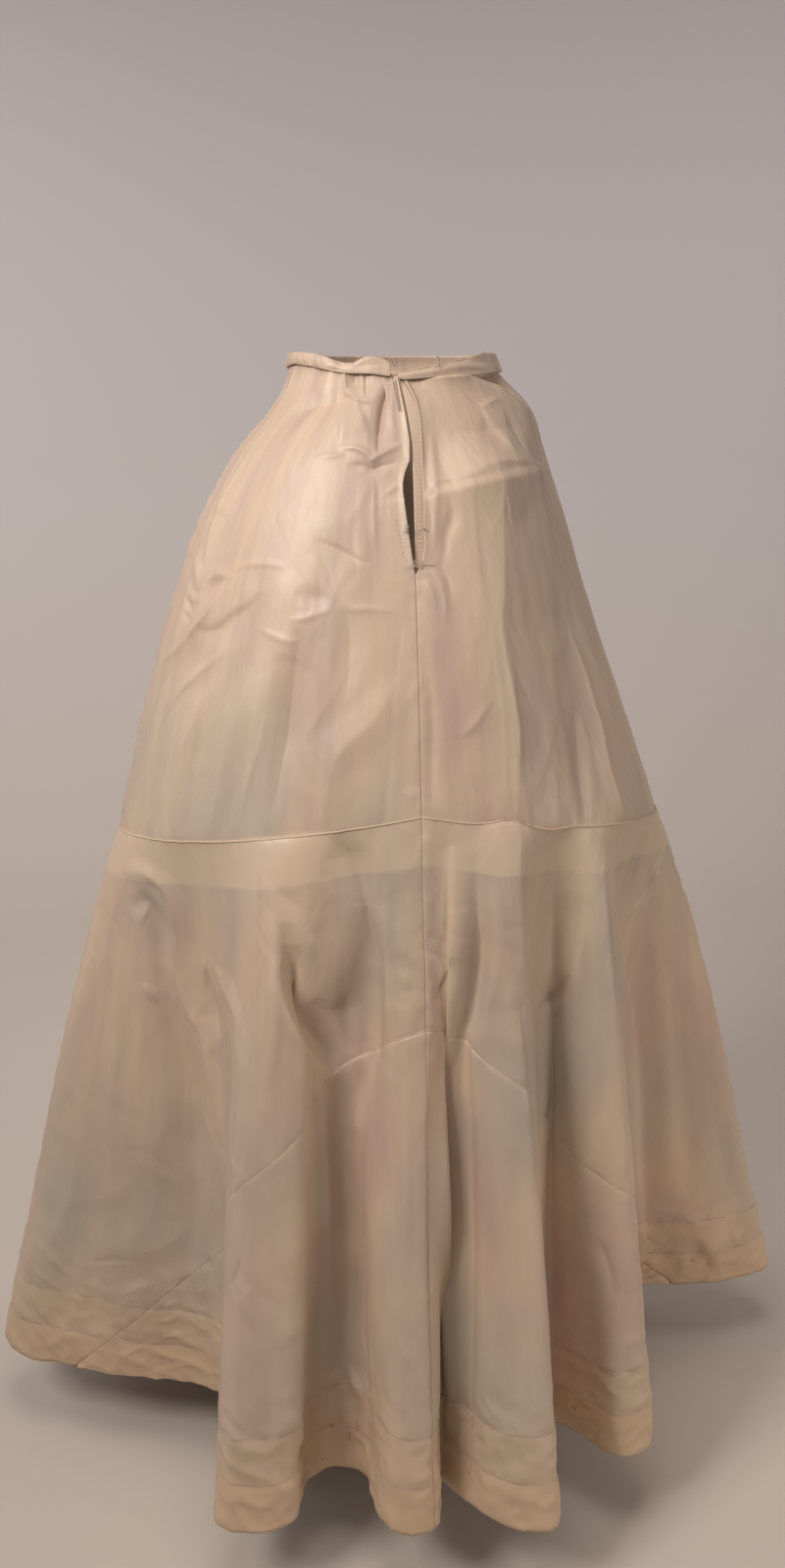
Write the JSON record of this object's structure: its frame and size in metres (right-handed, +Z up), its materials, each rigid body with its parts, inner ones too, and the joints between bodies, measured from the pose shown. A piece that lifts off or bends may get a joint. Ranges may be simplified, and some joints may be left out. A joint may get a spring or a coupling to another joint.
{
  "type": "taffeta skirt",
  "caption": "Floor-length silk taffeta skirt hanging as worn, with a hip yoke, narrow waistband, back placket, fluted flounce and a train gore over a faced hem.",
  "frame": {"origin": "middle of the waist opening, on the waist seam", "axes": "+Z up towards the wearer's head, +Y out of the centre back, -X to the wearer's right"},
  "size_m": [0.8702, 0.5715, 1.0762],
  "materials": {
    "taffeta": "crisp pale peach silk taffeta with a soft sheen",
    "facing": "tan cotton-backed facing, plain weave",
    "wire": "dulled steel wire"
  },
  "bodies": {
    "root": {"waistband": "taffeta", "yoke_front": "taffeta", "yoke_back_right": "taffeta", "yoke_back_left": "taffeta", "flounce_front": "taffeta", "flounce_back_right": "taffeta", "flounce_back_left": "taffeta", "train_gore_right": "taffeta", "train_gore_left": "taffeta", "hem_facing_front": "facing", "hem_facing_right": "facing", "hem_facing_left": "facing", "placket_facing_right": "facing", "placket_facing_left": "facing", "waist_hook": "wire", "waist_eye": "wire", "placket_eye": "wire", "placket_bar": "wire"}
  },
  "joints": []
}
